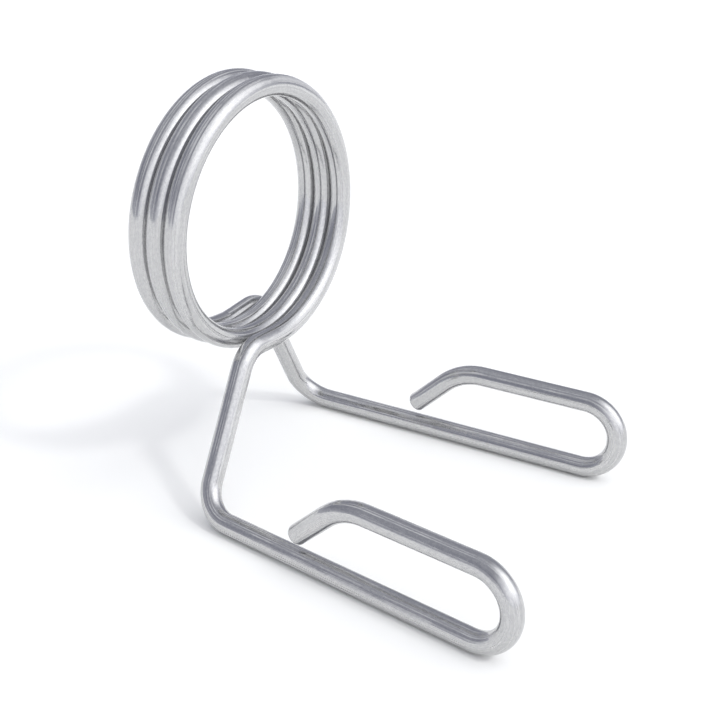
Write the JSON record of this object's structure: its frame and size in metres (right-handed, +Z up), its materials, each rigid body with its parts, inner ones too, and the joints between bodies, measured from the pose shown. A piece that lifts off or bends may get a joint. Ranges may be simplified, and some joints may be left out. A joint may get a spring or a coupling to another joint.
{
  "type": "spring clip collar",
  "caption": "Bar-end spring clip: a close-wound coil of round steel wire whose ends run down into legs and forward into loop grips that open the bore when squeezed together.",
  "frame": {"origin": "centre of the coil's bore, on its axis, midway between the coil's two ends", "axes": "+Y along the bore towards the coil's rear, where the bar goes in; -Y is the way the grips point; +Z up from the grips to the coil; +X to the right as seen from the front"},
  "size_m": [0.075, 0.0959, 0.0888],
  "materials": {
    "spring_wire": "bright zinc-plated drawn spring steel wire, smooth, with fine drawing lines along it"
  },
  "bodies": {
    "coil": {"front_turn_right": "spring_wire", "front_turn_left": "spring_wire", "middle_turn_right": "spring_wire", "middle_turn_left": "spring_wire", "rear_turn_right": "spring_wire", "rear_turn_left": "spring_wire"},
    "front_arm": {"front_coil_end": "spring_wire", "front_lead_out": "spring_wire", "front_shoulder": "spring_wire", "front_leg": "spring_wire", "front_heel": "spring_wire", "front_lower_grip": "spring_wire", "front_end_bend": "spring_wire", "front_upper_grip": "spring_wire", "front_tip_bend": "spring_wire", "front_tip": "spring_wire"},
    "rear_arm": {"rear_coil_end": "spring_wire", "rear_lead_out": "spring_wire", "rear_shoulder": "spring_wire", "rear_leg": "spring_wire", "rear_heel": "spring_wire", "rear_lower_grip": "spring_wire", "rear_end_bend": "spring_wire", "rear_upper_grip": "spring_wire", "rear_tip_bend": "spring_wire", "rear_tip": "spring_wire"}
  },
  "joints": [
    {"name": "front_squeeze", "type": "hinge", "parent": "coil", "child": "front_arm", "pos_m": [0, 0, 0], "axis": [0, -1, 0], "range_deg": [0, 16], "stiffness_Nm_per_rad": 15.8, "deforming": ["front_turn_right", "front_turn_left"]},
    {"name": "rear_squeeze", "type": "hinge", "parent": "coil", "child": "rear_arm", "pos_m": [0, 0, 0], "axis": [0, 1, 0], "range_deg": [0, 16], "stiffness_Nm_per_rad": 15.8, "deforming": ["rear_turn_right", "rear_turn_left"]}
  ],
  "couplings": [
    {"joint": "rear_squeeze", "follows": "front_squeeze", "ratio": 1}
  ]
}
